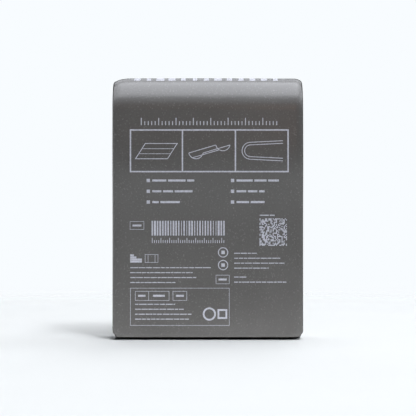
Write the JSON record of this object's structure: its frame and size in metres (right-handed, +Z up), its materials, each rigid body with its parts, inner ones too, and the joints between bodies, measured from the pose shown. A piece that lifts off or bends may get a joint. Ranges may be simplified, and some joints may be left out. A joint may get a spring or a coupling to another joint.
{
  "type": "aluminium foam splint, folded flat",
  "caption": "Long padded splint strip, a soft aluminium sheet between two sheets of closed-cell foam, folded into a flat pack that stands on edge.",
  "frame": {"origin": "on the surface that the pack stands on, below the middle of its box", "axes": "+Z up the standing pack; -Y out of the front panel, the one that carries the print; X across the strip's width"},
  "size_m": [0.11, 0.03, 0.152],
  "materials": {
    "closed_cell_foam": "closed-cell polyethylene foam sheet, dark neutral grey, with a finely grained satin skin; print in pale lilac grey ink on its outer side",
    "soft_aluminium": "annealed aluminium sheet as rolled, dull silver"
  },
  "bodies": {
    "root": {"outer_foam": "closed_cell_foam", "inner_foam": "closed_cell_foam", "aluminium_core": "soft_aluminium"}
  },
  "joints": []
}
